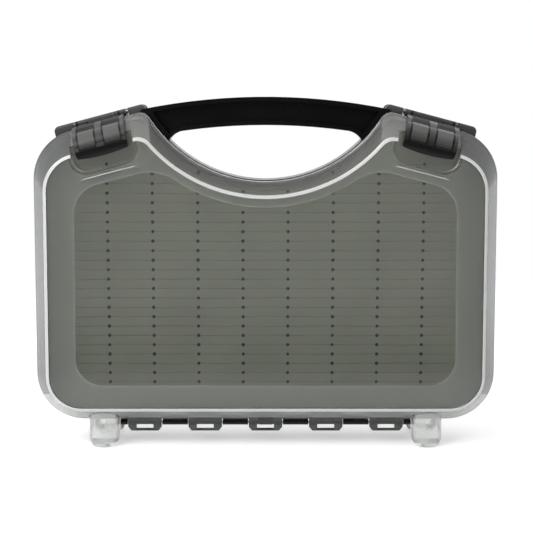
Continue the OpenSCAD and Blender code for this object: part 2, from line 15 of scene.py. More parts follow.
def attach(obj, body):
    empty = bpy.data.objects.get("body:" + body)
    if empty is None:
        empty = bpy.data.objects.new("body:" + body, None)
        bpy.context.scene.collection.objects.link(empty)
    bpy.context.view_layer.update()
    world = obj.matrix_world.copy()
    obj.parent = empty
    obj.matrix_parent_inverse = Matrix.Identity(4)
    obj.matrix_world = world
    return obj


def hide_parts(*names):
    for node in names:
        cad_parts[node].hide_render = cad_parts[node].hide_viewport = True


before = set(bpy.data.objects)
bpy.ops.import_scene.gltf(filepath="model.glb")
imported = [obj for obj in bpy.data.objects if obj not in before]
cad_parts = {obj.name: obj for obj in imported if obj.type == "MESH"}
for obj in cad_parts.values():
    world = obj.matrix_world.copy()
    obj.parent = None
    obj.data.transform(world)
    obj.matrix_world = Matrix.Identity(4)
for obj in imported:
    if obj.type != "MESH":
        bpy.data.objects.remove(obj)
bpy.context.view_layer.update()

bl_info = {
    "name": "Fly Box",
    "version": (1, 0, 0),
    "blender": (4, 5, 0),
    "location": "View3D > Sidebar > Fly Box",
    "description": "Dresses the fly box's CAD frame: lids, foam, plastics, stage",
    "category": "Object",
}

MM = 0.001
TO_MM = 1000.0
# Points closer than this, in metres, are one
SAME_POINT = 1e-7
# Depth beyond everything, for cutting tools, in millimetres
FAR = 60
# Slightly green tint of the grey tones
GREY_TINT = (0.97, 1, 0.95)


def length(name, default_mm, text):
    """A length property, given in millimetres."""
    return FloatProperty(name=name, description=text, default=default_mm * MM, unit="LENGTH", precision=5)


def strength(name, default, text):
    """A brightness, where 1 is white."""
    return FloatProperty(name=name, description=text, default=default, subtype="FACTOR", min=0, soft_max=1)


def watts(name, default, text):
    """The power of a lamp."""
    return FloatProperty(name=name, description=text, default=default, unit="POWER", min=0)


def colour(name, rgb, text):
    """A colour property, in linear light."""
    return FloatVectorProperty(name=name, description=text, default=rgb, subtype="COLOR",
                               size=3, min=0, max=1)


# ---------------------------------------------------------------- sizes and colours

class FlyOutline(bpy.types.PropertyGroup):
    """Outline of the case, seen from the front."""
    case_w: length("Width", 340, "Width over the lid flanges")
    edge_z: length("Edge height", 17.8, "Height of the lids' bottom edge above the ground")
    side_h: length("Side height", 224.5, "Height at which the shoulder line meets the side")
    shoulder: FloatProperty(name="Shoulder", description="Slope of the shoulders", default=math.radians(14.8),
                            unit="ROTATION")
    corner_r: length("Corner radius", 35, "Radius of the bottom corners")
    side_r: length("Side radius", 37, "Radius where the side turns into the shoulder")
    side_lean: length("Side lean", 1.2, "How far the sides lean in, from the bottom corners to the shoulders")
    dip_r: length("Dip radius", 100, "Radius of the dip under the handle")
    dip_low_z: length("Dip height", 195.4, "Height of the dip's lowest point")
    peak_r: length("Peak radius", 8, "Radius of the peak between shoulder and dip")


class FlyLid(bpy.types.PropertyGroup):
    """Sizes of a lid."""
    face_y: length("Face", 33, "Distance of the lid's face from the middle of the case")
    rim_y: length("Rim", 10.6, "Distance of the lid's rim from the middle of the case")
    flange: length("Flange", 4.4, "Depth of the flange's straight band")
    rim_w: length("Rim width", 5, "Width of the sealing rim")
    wall: length("Wall", 2.2, "Wall thickness")
    side_in: length("Side slope", 8.9, "How far the sloped wall runs in at the sides")
    low_in: length("Bottom slope", 9.4, "How far the sloped wall runs in at the bottom")
    shoulder_in: length("Shoulder slope", 16, "How far the sloped wall runs in at the shoulders")
    dip_in: length("Dip slope", 8.4, "How far the sloped wall runs in at the dip")
    face_r: length("Face edge", 2.6, "Radius of the face's edge")
    face_peak_r: length("Face peak", 11, "Radius of the face's outline at the peaks")
    window_side: length("Window side", 30.5, "Width of the frosted border at the sides")
    window_low: length("Window low", 28.4, "Width of the frosted border at the bottom")
    window_shoulder: length("Window shoulder", 41, "Width of the frosted border under the shoulders")
    window_dip: length("Window dip", 16.5, "Width of the frosted border under the dip")
    window_step: length("Window step", 0.45, "Depth of the step round the clear window")


class FlyPocket(bpy.types.PropertyGroup):
    """Sizes of the pockets under the latches."""
    at: length("Place", 50.6, "Distance of a latch's middle from the side, along the shoulder")
    width: length("Width", 46, "Width of a pocket")
    low: length("Low end", 31, "Distance of the pocket's lower end below the shoulder line")
    depth: length("Depth", 7, "Depth of the pocket behind the lid's face")
    radius: length("Corner radius", 9, "Radius of the pocket's lower corners")
    catch_h: length("Catch", 2.3, "Height of the catch ridge")
    latch_w: length("Latch width", 38.2, "Width of a latch")
    cheek_w: length("Cheek width", 3.5, "Width of a latch's end cheeks")
    rib_w: length("Rib width", 6.2, "Width of a latch's middle rib")


class FlyHinge(bpy.types.PropertyGroup):
    """Sizes of the lid's hinge groups and feet."""
    axis_y: length("Axis", 15.8, "Distance of the hinge axis from the middle of the case")
    axis_z: length("Axis height", 15.4, "Height of the hinge axis")
    pitch: length("Pitch", 45, "Distance between hinge groups")
    group_w: length("Group width", 25, "Width of one hinge group")
    ear_w: length("Ear width", 6.2, "Width of one ear")
    ear_drop: length("Ear drop", 5.9, "How far the ears reach below the hinge axis")
    bore_r: length("Bore", 1.05, "Radius of the pin's bore")
    foot_x: length("Foot place", 119.7, "Distance of a foot's middle from the middle of the case")
    foot_w: length("Foot width", 21.5, "Width of a foot")
    foot_r: length("Foot radius", 6, "Radius of a foot's bottom corners")
    foot_wall: length("Foot wall", 2.5, "Wall thickness of a foot")


class FlyFoam(bpy.types.PropertyGroup):
    """Sizes of the slit foam."""
    back_y: length("Back", 1.5, "Distance of the foam's back from the middle of the case")
    thick: length("Thickness", 5, "Thickness of a foam sheet")
    inset: length("Inset", 6.9, "Distance of the foam's edge from the outline")
    columns: IntProperty(name="Columns", description="Number of hole columns", default=10)
    rows: IntProperty(name="Rows", description="Number of slits", default=24)
    column_pitch: length("Column pitch", 33.3, "Distance between the hole columns")
    row_pitch: length("Row pitch", 7.1, "Distance between the slits")
    first_row: length("First row", 44.2, "Height of the lowest slit")
    hole_r: length("Hole radius", 1.25, "Radius of a hole")
    slit_depth: length("Slit depth", 2.2, "Depth of holes and slits")
    seed: IntProperty(name="Seed", description="Seed of the slits' unevenness", default=11)


class FlyColours(bpy.types.PropertyGroup):
    """Colours of the plastics and the foam."""
    frame_dark: colour("Frame dark", (0.0022, 0.0028, 0.0024), "Darkest black of the frame")
    frame_light: colour("Frame light", (0.004, 0.0048, 0.0043), "Lightest black of the frame")
    panel_dark: colour("Panel dark", (0.045, 0.047, 0.045), "Darkest grey of the divider panel")
    panel_light: colour("Panel light", (0.06, 0.062, 0.06), "Lightest grey of the divider panel")
    seal_dark: colour("Seal dark", (0.02, 0.02, 0.02), "Darkest grey of the seals")
    seal_light: colour("Seal light", (0.03, 0.03, 0.03), "Lightest grey of the seals")
    bracket_dark: colour("Bracket dark", (0.05, 0.053, 0.05), "Darkest grey of the latch brackets")
    bracket_light: colour("Bracket light", (0.075, 0.079, 0.075), "Lightest grey of the latch brackets")
    latch: colour("Latches", GREY_TINT, "Tint of the latches' greys")
    foam_dark: colour("Foam dark", (0.172, 0.180, 0.138), "Darkest green-grey of the foam")
    foam_light: colour("Foam light", (0.204, 0.212, 0.164), "Lightest green-grey of the foam")
    # Near-black painted onto the holes' inner faces as painted shade
    hole_painted_shade_dark: colour("Hole dark", (0.0008, 0.0008, 0.0008), "Darkest black inside the foam's holes")
    hole_painted_shade_light: colour("Hole light", (0.002, 0.002, 0.0018), "Lightest black inside the foam's holes")
    pin: colour("Pins", (0.62, 0.62, 0.6), "Steel of the pins")
    clear: colour("Clear", (0.965, 0.975, 0.967), "Tint of the lids' clear plastic")
    frost: colour("Frost", (0.9, 0.91, 0.885), "Tint of the lids' frosted border")
    # White used as painted highlight on the lids' edges, lines and pocket walls, and as painted reflection on
    # their slopes
    white: colour("White", (0.9, 0.91, 0.9), "Tint of the lids' edges, lines and feet")
    # Greys painted onto the clear bottom and side walls as painted reflection of the surroundings seen
    # through them
    low_wall_painted_reflection: colour("Low wall", (0.72, 0.74, 0.73), "Tint of the lids' bottom walls")
    side_wall_painted_reflection: colour("Side wall", (0.24, 0.25, 0.248), "Tint of the lids' side walls")
    ear: colour("Ears", (0.06, 0.068, 0.06), "Tint of the lids' hinge ears")


class FlyStage(bpy.types.PropertyGroup):
    """Camera, lights and floor."""
    distance: length("Distance", 890, "Distance of the camera in front of the case")
    height: length("Height", 258.9, "Height of the camera")
    pitch: FloatProperty(name="Pitch", description="How far the camera looks down",
                         default=math.radians(8.2), unit="ROTATION")
    lens: FloatProperty(name="Lens", description="Focal length", default=81.2, unit="CAMERA")
    shift: FloatProperty(name="Shift", description="Sideways shift of the picture, as a share of its width",
                         default=1 / 533)
    white: strength("White", 1.0, "Brightness of the background")
    near: strength("Near floor", 0.4, "Brightness added to the floor near the case")
    front: strength("Front room", 0.08, "Brightness of the room in front, in reflections")
    ambient: strength("Ambient", 0.55, "Brightness of the surroundings as light")
    key: watts("Key", 9.0, "Power of the key light, at the upper left")
    strip: watts("Strip", 1.2, "Power of the narrow light at the left")
    fill: watts("Fill", 1.6, "Power of the fill light, at the right")
    back: watts("Back", 4.0, "Power of the light behind")
    floor_dark: colour("Floor dark", (0.93, 0.93, 0.93), "Darkest tone of the floor")
    floor_light: colour("Floor light", (0.95, 0.95, 0.95), "Lightest tone of the floor")


# ---------------------------------------------------------------- outline

def along(centre, r, start, end, steps, first=0):
    """Points on an arc, angles in degrees."""
    out = []
    for i in range(first, steps + 1):
        a = math.radians(start + (end - start) * i / steps)
        out.append((centre[0] + r * math.cos(a), centre[1] + r * math.sin(a)))
    return out


def circle(centre, r, count):
    """Points round a full circle."""
    return along(centre, r, 0, 360 - 360 / count, count - 1)


class Outline:
    """The case outline in millimetres, and rings moved in from it."""
    corner_steps = 16
    dip_steps = 40
    least_r = 2

    def __init__(self, o):
        self.half = o.case_w * TO_MM / 2
        self.edge_z = o.edge_z * TO_MM
        self.side_h = o.side_h * TO_MM
        self.angle = math.degrees(o.shoulder)
        self.slope = (math.cos(o.shoulder), math.sin(o.shoulder))
        self.rise = (-math.sin(o.shoulder), math.cos(o.shoulder))
        self.corner_r = o.corner_r * TO_MM
        self.side_r = o.side_r * TO_MM
        self.lean = o.side_lean * TO_MM
        self.dip_r = o.dip_r * TO_MM
        self.dip_z = (o.dip_low_z + o.dip_r) * TO_MM
        self.peak_r = o.peak_r * TO_MM

    def peak_centre(self, top, dip, r):
        """Centre of the fillet between shoulder line and dip."""
        x = -self.half - self.rise[0] * (top + r)
        z = self.side_h - self.rise[1] * (top + r) - self.dip_z
        b = x * self.slope[0] + z * self.slope[1]
        c = x * x + z * z - (self.dip_r + dip + r) ** 2
        t = -b - math.sqrt(b * b - c)
        return (x + self.slope[0] * t, z + self.slope[1] * t + self.dip_z)

    def ring(self, edge, top, peak_r, low=None, dip=None, side_r=None, corner_r=None):
        """Outline moved in by edge at the sides and top at the shoulders.

        All rings have the same number of points, so that they can be joined into a skin.
        """
        low = edge if low is None else low
        dip = top if dip is None else dip
        rc = max(self.corner_r - edge, self.least_r) if corner_r is None else corner_r
        rs = max(self.side_r - edge, self.least_r) if side_r is None else side_r
        bottom = (-self.half + edge + rc, self.edge_z + low + rc)
        side_x = -self.half + self.lean + edge + rs
        line_x = -self.half - self.rise[0] * (top + rs)
        line_z = self.side_h - self.rise[1] * (top + rs)
        side = (side_x, line_z + (side_x - line_x) * math.tan(math.radians(self.angle)))
        peak = self.peak_centre(top, dip, peak_r)
        turn = math.degrees(math.atan2(self.dip_z - peak[1], -peak[0]))
        half = along(bottom, rc, 270, 180, self.corner_steps)
        half += along(side, rs, 180, 90 + self.angle, self.corner_steps)
        half += along(peak, peak_r, 90 + self.angle, turn, self.corner_steps)
        half += along((0, self.dip_z), self.dip_r + dip, 180 + turn, 270, self.dip_steps, 1)
        return half + [(-x, z) for x, z in reversed(half[:-1])]


# ---------------------------------------------------------------- meshes

def new_object(name, points, faces):
    """A mesh object from points in millimetres, depth counted towards the front."""
    mesh = bpy.data.meshes.new(name)
    mesh.from_pydata([(x * MM, -y * MM, z * MM) for x, y, z in points], [], faces)
    bm = bmesh.new()
    bm.from_mesh(mesh)
    bmesh.ops.remove_doubles(bm, verts=bm.verts, dist=SAME_POINT)
    bmesh.ops.recalc_face_normals(bm, faces=bm.faces)
    bm.to_mesh(mesh)
    bm.free()
    obj = bpy.data.objects.new(name, mesh)
    bpy.context.collection.objects.link(obj)
    return obj


def skin(name, layers):
    """A closed solid through a stack of (depth, ring) layers."""
    n = len(layers[0][1])
    points = [(x, depth, z) for depth, ring in layers for x, z in ring]
    faces = []
    for k in range(len(layers) - 1):
        for i in range(n):
            a, b = k * n + i, k * n + (i + 1) % n
            faces.append((a, b, b + n, a + n))
    faces.append(tuple(range(n)))
    faces.append(tuple(range((len(layers) - 1) * n, len(layers) * n)))
    return new_object(name, points, faces)


def plate(name, outline, y_from, y_to):
    """An outline drawn in X and Z, extruded in depth."""
    return skin(name, [(y_from, outline), (y_to, outline)])


def prism_faces(n):
    """Faces of a prism whose two ends have n points each."""
    faces = [(i, (i + 1) % n, (i + 1) % n + n, i + n) for i in range(n)]
    return faces + [tuple(range(n)), tuple(range(n, 2 * n))]


def bar(name, section, x_from, x_to):
    """A section drawn in depth and height, extruded along X."""
    points = [(x_from, y, z) for y, z in section] + [(x_to, y, z) for y, z in section]
    return new_object(name, points, prism_faces(len(section)))


def post(name, plan, z_from, z_to):
    """A plan drawn in X and depth, extruded upwards."""
    points = [(x, y, z_from) for x, y in plan] + [(x, y, z_to) for x, y in plan]
    return new_object(name, points, prism_faces(len(plan)))


def transform(obj, matrix):
    """Applies a matrix in metres to the mesh itself."""
    obj.data.transform(matrix)
    if matrix.determinant() < 0:
        obj.data.flip_normals()
    return obj


def joined(name, objs):
    """One object of several that don't touch."""
    bm = bmesh.new()
    for o in objs:
        bm.from_mesh(o.data)
    mesh = bpy.data.meshes.new(name)
    bm.to_mesh(mesh)
    bm.free()
    for o in objs:
        bpy.data.objects.remove(o)
    obj = bpy.data.objects.new(name, mesh)
    bpy.context.collection.objects.link(obj)
    return obj


def combine(obj, tool, operation):
    """Boolean of obj with tool, applied to obj's mesh. The tool is used up."""
    mod = obj.modifiers.new("combine", "BOOLEAN")
    mod.operation = operation
    mod.solver = "EXACT"
    mod.object = tool
    graph = bpy.context.evaluated_depsgraph_get()
    mesh = bpy.data.meshes.new_from_object(obj.evaluated_get(graph))
    obj.modifiers.clear()
    obj.data = mesh
    bpy.data.objects.remove(tool)


def copy_of(obj, name):
    """A second object with its own copy of the mesh."""
    twin = bpy.data.objects.new(name, obj.data.copy())
    bpy.context.collection.objects.link(twin)
    return twin


def smooth(obj, angle=32):
    """Smooth shading with edges sharper than angle kept."""
    for p in obj.data.polygons:
        p.use_smooth = True
    obj.data.set_sharp_from_angle(angle=math.radians(angle))


def bevelled(obj, width_mm, segments=3, angle=32):
    """Small rounded edges, by modifiers only, and flat faces that stay flat in shading."""
    bevel = obj.modifiers.new("edges", "BEVEL")
    bevel.width = width_mm * MM
    bevel.segments = segments
    bevel.limit_method = "ANGLE"
    bevel.angle_limit = math.radians(angle)
    weights = obj.modifiers.new("weights", "WEIGHTED_NORMAL")
    weights.keep_sharp = True


# ---------------------------------------------------------------- materials

# Places of a Mix node's two colour inputs and its colour output, which share their names with others
MIX_COLOURS, MIX_RESULT = (6, 7), 2
# Refraction of the clear plastic
CLEAR_IOR = 1.585
# Specular level of the opaque plastics
MOULDED_GLOSS = 0.3
# Painted light and shade over a latch, as (millimetres above the shoulder line, tone): painted shade on the
# lip and in the gap under the bracket strip, the panels painted lighter near their tops where light from
# above falls, and rib and cheeks painted lighter towards their tops
PANEL_PAINTED_LIGHT_AND_SHADE = ((-23, 0.006), (-16.6, 0.006), (-16, 0.02), (-12.5, 0.05), (-7, 0.12), (-3.6, 0.1),
               (-2.6, 0.006), (-0.6, 0.006), (0.2, 0.04), (4, 0.07))
CROWN_PAINTED_LIGHT_AND_SHADE = ((-23, 0.006), (-16.6, 0.006), (-12, 0.03), (-3, 0.1), (0.2, 0.04), (4, 0.07))
# Painted shade in the slots beside a latch's rib and cheeks
SLOT_PAINTED_SHADE = (0.006, 0.006, 0.006, 1)
# Beside a latch's rib and cheeks, in millimetres: the slot of painted shade on the panel's side and its soft
# edge, and on the other side the flank of painted shade and the place where the crown's painted light has its
# full tone
SLOT, SLOT_EDGE, FLANK, CROWN = 0.5, 0.1, 0.6, 1.1
# Size of the moulded grain, and of the frosted plastic's finer one, in millimetres
GRAIN, FROST_GRAIN = 0.6, 0.5


class Nodes:
    """Short hand for a material's node tree."""

    def __init__(self, name):
        self.material = bpy.data.materials.new(name)
        self.material.use_nodes = True
        self.tree = self.material.node_tree
        self.shader = self.tree.nodes["Principled BSDF"]

    def add(self, kind, **values):
        """A new node, with its sockets or its own settings given by name."""
        node = self.tree.nodes.new(kind)
        for key, value in values.items():
            if key in node.inputs:
                node.inputs[key].default_value = value
            else:
                setattr(node, key, value)
        return node

    def link(self, a, b):
        """Joins an output to an input."""
        self.tree.links.new(a, b)

    def place(self):
        """Object coordinates in metres."""
        return self.add("ShaderNodeTexCoord").outputs["Object"]

    def axes(self, vector):
        """X, Y and Z of a vector."""
        split = self.add("ShaderNodeSeparateXYZ")
        self.link(vector, split.inputs["Vector"])
        return [split.outputs[name] for name in "XYZ"]

    def noise(self, scale, detail):
        """Noise from 0 to 1, with scale in cells per metre."""
        node = self.add("ShaderNodeTexNoise", Scale=scale, Detail=detail, Roughness=0.5)
        self.link(self.place(), node.inputs["Vector"])
        return node.outputs["Fac"]

    def ramp(self, value, low, high, a, b):
        """Colours a and b mixed by a value between low and high."""
        node = self.add("ShaderNodeValToRGB")
        node.color_ramp.elements[0].position = low
        node.color_ramp.elements[1].position = high
        node.color_ramp.elements[0].color = (*a, 1)
        node.color_ramp.elements[1].color = (*b, 1)
        self.link(value, node.inputs["Fac"])
        return node.outputs["Color"]

    def span(self, value, a, b):
        """A value from 0 to 1 mapped to a to b."""
        return self.between(value, 0.0, 1.0, a, b)

    def math(self, operation, a, b=None):
        """A Math node over two sockets or numbers."""
        node = self.add("ShaderNodeMath", operation=operation)
        for i, value in enumerate((a, b)):
            if hasattr(value, "links"):
                self.link(value, node.inputs[i])
            elif value is not None:
                node.inputs[i].default_value = value
        return node.outputs["Value"]

    def between(self, value, low, high, a=0.0, b=1.0):
        """A value between low and high mapped to a to b, and held beyond them."""
        node = self.add("ShaderNodeMapRange")
        for key, number in (("From Min", low), ("From Max", high), ("To Min", a), ("To Max", b)):
            node.inputs[key].default_value = number
        self.link(value, node.inputs["Value"])
        return node.outputs["Result"]

    def mixed(self, share, a, b):
        """Colour a turned into b by share."""
        node = self.add("ShaderNodeMix", data_type="RGBA")
        self.link(share, node.inputs["Factor"])
        for i, value in zip(MIX_COLOURS, (a, b)):
            if hasattr(value, "links"):
                self.link(value, node.inputs[i])
            else:
                node.inputs[i].default_value = value
        return node.outputs[MIX_RESULT]

    def bump(self, value, strength, distance_mm):
        """Bump from a value, distance_mm high where it is 1."""
        node = self.add("ShaderNodeBump", Strength=strength, Distance=distance_mm * MM)
        self.link(value, node.inputs["Height"])
        self.link(node.outputs["Normal"], self.shader.inputs["Normal"])

    def set(self, **values):
        """Constants on the shader's own sockets."""
        for key, value in values.items():
            self.shader.inputs[key.replace("_", " ")].default_value = value


def plastic(name, dark, light, rough, grain_mm=GRAIN):
    """Moulded plastic: a faint grain, uneven gloss and a little colour variation."""
    m = Nodes(name)
    broad = m.noise(14.0, 3.0)
    fine = m.noise(TO_MM / grain_mm, 2.0)
    m.link(m.ramp(broad, 0.35, 0.65, dark, light), m.shader.inputs["Base Color"])
    m.link(m.span(broad, rough * 0.85, rough * 1.2), m.shader.inputs["Roughness"])
    m.bump(fine, 0.12, 0.05)
    m.set(Specular_IOR_Level=MOULDED_GLOSS)
    return m.material


def clear_plastic(name, tint, rough, wave):
    """Clear moulded plastic with slight waves in its surface."""
    m = Nodes(name)
    m.set(Base_Color=(*tint, 1), IOR=CLEAR_IOR, Transmission_Weight=1.0)
    waves = m.noise(28.0, 2.0)
    m.link(m.span(waves, rough * 0.8, rough * 1.25), m.shader.inputs["Roughness"])
    m.bump(waves, wave, 0.2)
    return m.material


def milky_plastic_or_painted_light(name, tint, body, rough, grain=0.3):
    """The same plastic with a fine texture; body is the share of light that it scatters back. It makes the
    frosted border, and with a larger body also the bands of painted highlight and painted reflection on the
    lids.
    """
    m = Nodes(name)
    m.set(Base_Color=(*tint, 1), IOR=CLEAR_IOR, Transmission_Weight=1 - body)
    fine = m.noise(TO_MM / FROST_GRAIN, 3.0)
    m.link(m.span(fine, rough * 0.85, rough * 1.15), m.shader.inputs["Roughness"])
    m.bump(fine, grain, 0.05)
    return m.material


def foam_material(name, dark, light):
    """Closed-cell foam: fine cells, soft blotches and a dull surface."""
    m = Nodes(name)
    blotch = m.noise(22.0, 4.0)
    cells = m.add("ShaderNodeTexVoronoi", Scale=1800.0)
    m.link(m.place(), cells.inputs["Vector"])
    m.link(m.ramp(blotch, 0.3, 0.7, dark, light), m.shader.inputs["Base Color"])
    m.bump(cells.outputs["Distance"], 0.35, 0.12)
    m.set(Roughness=0.92)
    return m.material


def shoulder_place(m, case, at):
    """Distance along the shoulder from a latch's middle and height over it, as sockets, in metres."""
    side, _, up = m.axes(m.place())
    x = m.math("ADD", m.math("MULTIPLY", m.math("ABSOLUTE", side), -1.0), case.half * MM)
    z = m.math("SUBTRACT", up, case.side_h * MM)

    def part(direction):
        """How far x and z lie along a direction."""
        return m.math("ADD", m.math("MULTIPLY", x, direction[0]), m.math("MULTIPLY", z, direction[1]))

    return m.math("ABSOLUTE", m.math("SUBTRACT", part(case.slope), at * MM)), part(case.rise)


def tone_ramp(m, value, stops, tint=GREY_TINT):
    """Grey tones over a length: stops are (mm, tone)."""
    low, high = stops[0][0], stops[-1][0]
    ramp = m.add("ShaderNodeValToRGB")
    while len(ramp.color_ramp.elements) < len(stops):
        ramp.color_ramp.elements.new(0.5)
    for element, (at, tone) in zip(ramp.color_ramp.elements, stops):
        element.position = (at - low) / (high - low)
        element.color = (*[tone * share for share in tint], 1)
    m.link(m.between(value, low * MM, high * MM), ramp.inputs["Fac"])
    return ramp.outputs["Color"]


def latch_plastic_painted_light(name, case, p, tint, rough):
    """Dark moulded plastic with light and shade painted by place: the two panels painted lighter at the top
    and darker below as if lit from above, painted shade in the slots, on the flanks, under the bracket strip
    and on the lip, and painted light on the crowns of rib and cheeks.
    """
    m = Nodes(name)
    aside, height = shoulder_place(m, case, p.at * TO_MM)
    uneven = m.math("MULTIPLY", m.math("SUBTRACT", m.noise(60.0, 3.0), 0.5), 0.0006)
    height = m.math("ADD", height, uneven)
    panel, crown_painted_light = [tone_ramp(m, height, tones, tint) for tones in (PANEL_PAINTED_LIGHT_AND_SHADE, CROWN_PAINTED_LIGHT_AND_SHADE)]
    rib = p.rib_w * TO_MM / 2
    cheek = (p.latch_w / 2 - p.cheek_w) * TO_MM
    end = p.latch_w * TO_MM / 2 + 4
    # Masks for the painted shade in the slots and on the flanks, and for the painted light on the crowns
    outside_painted_slot_shade = tone_ramp(m, aside, ((0, 0), (rib + SLOT, 0), (rib + SLOT + SLOT_EDGE, 1),
                                    (cheek - SLOT - SLOT_EDGE, 1), (cheek - SLOT, 0), (end, 0)))
    on_painted_crown_light = tone_ramp(m, aside, ((0, 1), (rib - CROWN, 1), (rib - FLANK, 0),
                                    (cheek + FLANK, 0), (cheek + CROWN, 1), (end, 1)))
    tone = m.mixed(outside_painted_slot_shade, SLOT_PAINTED_SHADE, panel)
    m.link(m.mixed(on_painted_crown_light, tone, crown_painted_light), m.shader.inputs["Base Color"])
    m.link(m.span(m.noise(14.0, 3.0), rough * 0.85, rough * 1.2), m.shader.inputs["Roughness"])
    m.bump(m.noise(TO_MM / GRAIN, 2.0), 0.12, 0.05)
    m.set(Specular_IOR_Level=MOULDED_GLOSS)
    return m.material


def dress(node, material):
    """Puts a material on a CAD node."""
    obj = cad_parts[node]
    for s in obj.material_slots:
        s.material = material
    return obj


def names_with(word):
    """Names of the CAD nodes that hold a word."""
    return [n for n in sorted(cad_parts) if word in n]


# ---------------------------------------------------------------- lids

# Inset of the sloped wall's inside for each millimetre of its thickness
SLOPE_INSET = 0.75
# Rounding inside the face's edge: (depth behind the face, inset, share of the peaks' widening)
INNER_EDGE = ((0, 1.6, 1), (0.35, 0.5, 0.95), (1.2, 0, 0.9))
# Rounding outside it: its depth, its inset as a share of face_r, and its steps
OUTER_DEPTH, OUTER_SHARE, OUTER_STEPS = 2, 1.5, 6
# Small chamfer at the rim
RIM_CHAMFER = 0.3


def lid_layers(case, lid):
    """The inside's layers as a function, and the outside's from the rim out to the face."""
    face, rim = lid.face_y * TO_MM, lid.rim_y * TO_MM
    band = rim + lid.flange * TO_MM
    wall, edge = lid.wall * TO_MM, lid.face_r * TO_MM
    rim_w, tight, wide = lid.rim_w * TO_MM, case.peak_r, lid.face_peak_r * TO_MM
    runs = [run * TO_MM for run in (lid.side_in, lid.low_in, lid.shoulder_in, lid.dip_in)]

    def slope_ring(share, inset, widening):
        """Ring at a share of the sloped wall's run, moved in by inset."""
        side, low, shoulder, dip = [run * share + inset for run in runs]
        return case.ring(side, shoulder, tight + (wide - tight) * widening, low=low, dip=dip)

    def inner(share, start):
        """Layers at a share of the wall's thickness, from the face back to the depth start."""
        w = wall * share
        straight = case.ring(rim_w * share, rim_w * share, tight + 2)
        layers = [(face - w - back, slope_ring(1, w * SLOPE_INSET + inset, widening))
                  for back, inset, widening in INNER_EDGE]
        return layers + [(band + 0.8, slope_ring(0, w + 0.5, 0)), (band - 1.2, straight), (start, straight)]

    outer = [(rim, case.ring(RIM_CHAMFER, RIM_CHAMFER, tight)),
             (rim + RIM_CHAMFER, case.ring(0, 0, tight)),
             (band, case.ring(0, 0, tight)),
             (band + 0.5, case.ring(0.1, 0.1, tight)),
             (band + 1.2, slope_ring(0, 0.4, 0))]
    for i in range(OUTER_STEPS + 1):
        a = math.radians(90 * i / OUTER_STEPS)
        inset = OUTER_SHARE * edge * (1 - math.cos(a))
        depth = face - OUTER_DEPTH + OUTER_DEPTH * math.sin(a)
        outer.append((depth, slope_ring(1, inset, 0.9 + 0.1 * i / OUTER_STEPS)))
    return inner, outer


# Height over the shoulder line at which a pocket's outline ends, clear of the lid
POCKET_TOP = 14


def pocket_outline(p, grow):
    """Outline of a pocket, grown by grow millimetres, in the latch frame."""
    half = p.width * TO_MM / 2 + grow
    corners = lower_corners(half, -p.low * TO_MM - grow, p.radius * TO_MM + grow)
    return [(-half, POCKET_TOP)] + corners + [(half, POCKET_TOP)]


def shoulder_matrix(case, at_mm):
    """From the latch frame to the front left corner of the case, in metres."""
    place = Vector((-case.half + at_mm * case.slope[0], 0, case.side_h + at_mm * case.slope[1])) * MM
    return Matrix.Translation(place) @ Matrix.Rotation(-math.radians(case.angle), 4, "Y")


MIRROR_X = Matrix.Scale(-1, 4, (1, 0, 0))
MIRROR_Y = Matrix.Scale(-1, 4, (0, 1, 0))


def both_sides(name, make, matrix):
    """A tool at both shoulders."""
    pair = []
    for side in ("left", "right"):
        tool = transform(make(name + "_" + side), matrix)
        if side == "right":
            transform(tool, MIRROR_X)
        pair.append(tool)
    return joined(name, pair)


# Reach of the ears in front of the hinge axis and behind it
EAR_FRONT, EAR_BACK = 2.9, 1.5
# Height of the bridge between two ears, thickness of the screen, and how far both run into the ears
BRIDGE_H, SCREEN, OVERLAP = 1, 0.5, 0.4


def ear_section(h, edge_z, band):
    """Section of an ear round the hinge pin, in depth and height."""
    y, z, drop = h.axis_y * TO_MM, h.axis_z * TO_MM, h.ear_drop * TO_MM
    root = edge_z + 2.4
    return [(y - EAR_BACK, z - drop), (y + EAR_FRONT, z - drop), (y + EAR_FRONT, root), (band - 1, root),
            (y - 2.5, edge_z + 0.1), (y - 2.7, z + 1.0), (y - 2.4, z - 1.4), (y - EAR_BACK, z - 2.4)]


def box_section(y0, y1, z0, z1):
    """A rectangle in depth and height."""
    return [(y0, z0), (y1, z0), (y1, z1), (y0, z1)]


def hinge_group(name, h, edge_z, band):
    """Two ears with a light bridge below and a thin screen in front."""
    half, ear = h.group_w * TO_MM / 2, h.ear_w * TO_MM
    y, z = h.axis_y * TO_MM, h.axis_z * TO_MM
    low = z - h.ear_drop * TO_MM
    section = ear_section(h, edge_z, band)
    group = bar(name, section, -half, -half + ear)
    combine(group, bar("other_ear", section, half - ear, half), "UNION")
    inner = half - ear + OVERLAP
    bridge = box_section(y - EAR_BACK, y + EAR_FRONT, low, low + BRIDGE_H)
    screen = box_section(y + EAR_FRONT - SCREEN, y + EAR_FRONT, z - 1, edge_z + 3)
    combine(group, bar("bridge", bridge, -inner, inner), "UNION")
    combine(group, bar("screen", screen, -inner, inner), "UNION")
    for s in (-1, 1):
        outside = s * (half + 1)
        chamfer = [(outside, low - 1), (s * (half - 3.2), low - 1), (outside, low + 4.2)]
        combine(group, plate("chamfer", chamfer, 0, FAR), "DIFFERENCE")
    return group


# A foot's top over the lid's bottom edge, its back behind the hinge axis, its front behind the lid's face
FOOT_TOP, FOOT_BACK, FOOT_FRONT = 13.7, 1.9, 2.3
# Radius of the round boss in a foot, its reach behind the front wall, its height as a share of edge_z
BOSS_R, BOSS_BACK, BOSS_UP = 2, 0.4, 0.7


